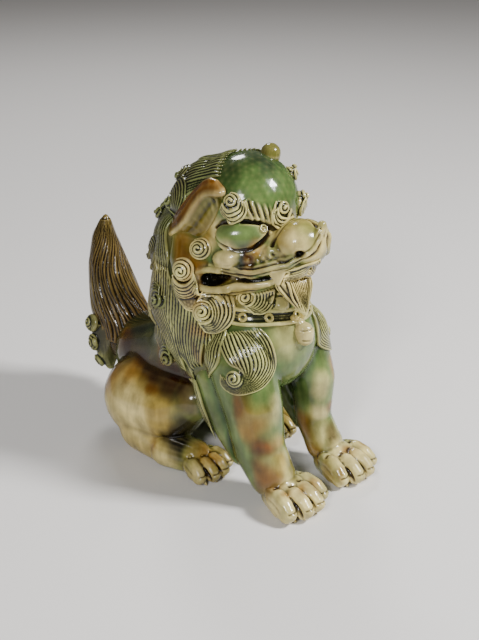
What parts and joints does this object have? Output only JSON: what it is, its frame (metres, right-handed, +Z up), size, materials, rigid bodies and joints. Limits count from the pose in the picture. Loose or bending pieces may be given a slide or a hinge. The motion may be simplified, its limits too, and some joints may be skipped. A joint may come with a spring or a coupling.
{
  "type": "seated guardian lion figurine",
  "caption": "Seated guardian lion in three-colour glazed stoneware, with combed curly mane, studded collar, bell and flame tail.",
  "frame": {"origin": "under the middle of the lion's length and width, on the plane of its paws", "axes": "+Z up, the lion faces -Y, its right side is at -X"},
  "size_m": [0.0916, 0.1868, 0.1735],
  "materials": {
    "green_glaze": "glossy copper-green lead glaze over pale stoneware, darker where it pools",
    "amber_glaze": "glossy iron-amber glaze running into cream and brown",
    "cream_glaze": "glossy straw-cream glaze with brown in the folds",
    "combed_hair_glaze": "combed hair: cream on the ridges, dark olive-brown glaze in the grooves",
    "olive_glaze": "glossy olive glaze, cream on the high edges",
    "dark_glaze": "glossy dark manganese glaze"
  },
  "bodies": {
    "root": {"torso_shell": "green_glaze", "right_foreleg": "green_glaze", "left_foreleg": "green_glaze", "right_forepaw": "cream_glaze", "left_forepaw": "cream_glaze", "forepaw_claws": "cream_glaze", "right_thigh": "amber_glaze", "left_thigh": "amber_glaze", "right_hind_foot": "cream_glaze", "left_hind_foot": "cream_glaze", "hind_claws": "cream_glaze", "skull": "green_glaze", "muzzle": "cream_glaze", "nose": "cream_glaze", "upper_lip": "cream_glaze", "lower_jaw": "cream_glaze", "fangs": "cream_glaze", "right_eye": "green_glaze", "left_eye": "green_glaze", "eye_pellets": "dark_glaze", "right_ear": "amber_glaze", "left_ear": "amber_glaze", "crown_knob": "olive_glaze", "right_brow_curl": "combed_hair_glaze", "left_brow_curls": "combed_hair_glaze", "right_cheek_curls": "combed_hair_glaze", "left_cheek_curls": "combed_hair_glaze", "jowl_curls": "combed_hair_glaze", "chin_curls": "combed_hair_glaze", "beard": "combed_hair_glaze", "nape_mane": "combed_hair_glaze", "right_mane": "combed_hair_glaze", "left_mane": "combed_hair_glaze", "nape_curls": "combed_hair_glaze", "right_shoulder_lock": "combed_hair_glaze", "left_shoulder_lock": "combed_hair_glaze", "elbow_tufts": "combed_hair_glaze", "collar": "olive_glaze", "collar_studs": "olive_glaze", "bell": "cream_glaze", "tail_plume": "amber_glaze", "right_tail_tuft": "combed_hair_glaze", "left_tail_tuft": "combed_hair_glaze"}
  },
  "joints": []
}
